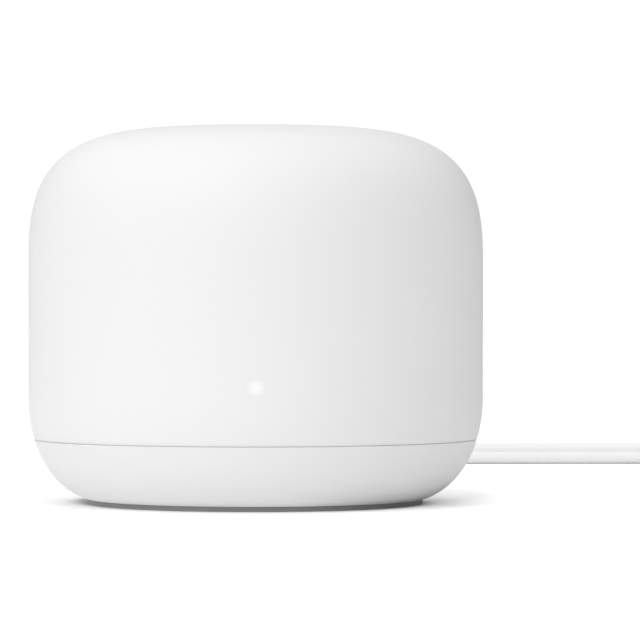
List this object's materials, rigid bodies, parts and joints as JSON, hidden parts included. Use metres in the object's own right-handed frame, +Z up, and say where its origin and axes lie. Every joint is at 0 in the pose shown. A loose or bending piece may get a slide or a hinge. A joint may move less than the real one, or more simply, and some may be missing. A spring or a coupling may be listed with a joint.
{
  "type": "mesh wifi node",
  "caption": "Round tabletop wireless network node with a soft-cornered plastic body, a small front status light, rear network sockets, a reset button underneath and a power lead.",
  "frame": {"origin": "on the table, under the middle of the round body", "axes": "+Z up, status light on the -Y side, sockets and power lead on the +Y side, +X to the right as seen from the front"},
  "size_m": [0.252, 0.2818, 0.0912],
  "materials": {
    "white_shell": "fine satin moulded plastic",
    "foot_silicone": "matte silicone",
    "bezel_grey": "matte",
    "screw_steel": "zinc plated",
    "light_lens": "milky clear",
    "dark_plastic": "matte moulded",
    "board_green": "solder mask",
    "led_white": "glossy",
    "connector_ivory": "matte",
    "button_grey": "satin",
    "contact_gold": "gold plated",
    "pin_steel": "nickel plated",
    "chip_black": "matte moulded",
    "ferrite_grey": "matte",
    "thermal_pink": "soft matte",
    "sink_aluminium": "extruded, plain",
    "spacer_brass": "turned",
    "frame_white": "matte moulded",
    "antenna_copper": "stamped sheet",
    "lead_black": "matte",
    "cord_white": "satin sheath",
    "tie_grey": "matte",
    "adapter_white": "fine satin",
    "adapter_brown_board": "plain laminate",
    "transformer_yellow": "tape wrapped"
  },
  "bodies": {
    "node_body": {"upper_shell": "white_shell", "base_shell": "white_shell", "foot_pad": "foot_silicone", "port_bezel": "bezel_grey", "base_screws": "screw_steel", "shell_screws": "screw_steel", "board_screws": "screw_steel", "sink_screws": "screw_steel", "light_pipe": "light_lens", "light_shroud": "dark_plastic", "tact_switch": "dark_plastic", "wan_jack": "dark_plastic", "lan_jack": "dark_plastic", "dc_jack": "dark_plastic", "led_board": "board_green", "main_board": "board_green", "status_led": "led_white", "led_cable": "connector_ivory", "led_socket": "connector_ivory", "jack_contacts": "contact_gold", "antenna_sockets": "contact_gold", "dc_pin": "pin_steel", "dc_barrel": "pin_steel", "adapter_blades": "pin_steel", "radio_cans": "pin_steel", "capacitors": "pin_steel", "processor": "chip_black", "memory_chips": "chip_black", "line_transformers": "chip_black", "adapter_capacitor": "chip_black", "inductors": "ferrite_grey", "thermal_pads": "thermal_pink", "heat_sink": "sink_aluminium", "sink_spacers": "spacer_brass", "antenna_frame": "frame_white", "antennas": "antenna_copper", "antenna_leads": "lead_black", "dc_plug": "cord_white", "dc_relief": "cord_white", "cord_lead": "cord_white", "cord_coil": "cord_white", "cord_tail": "cord_white", "adapter_relief": "cord_white", "cord_tie": "tie_grey", "adapter_case": "adapter_white", "adapter_face": "adapter_white", "adapter_board": "adapter_brown_board", "adapter_transformer": "transformer_yellow"},
    "reset": {"reset_button": "button_grey", "switch_plunger": "dark_plastic"}
  },
  "joints": [
    {"name": "reset_press", "type": "slide", "parent": "node_body", "child": "reset", "axis": [0, 0, 1], "range_m": [0, 0.0006], "stiffness_N_per_m": 1500, "springref_m": -0.0005}
  ]
}
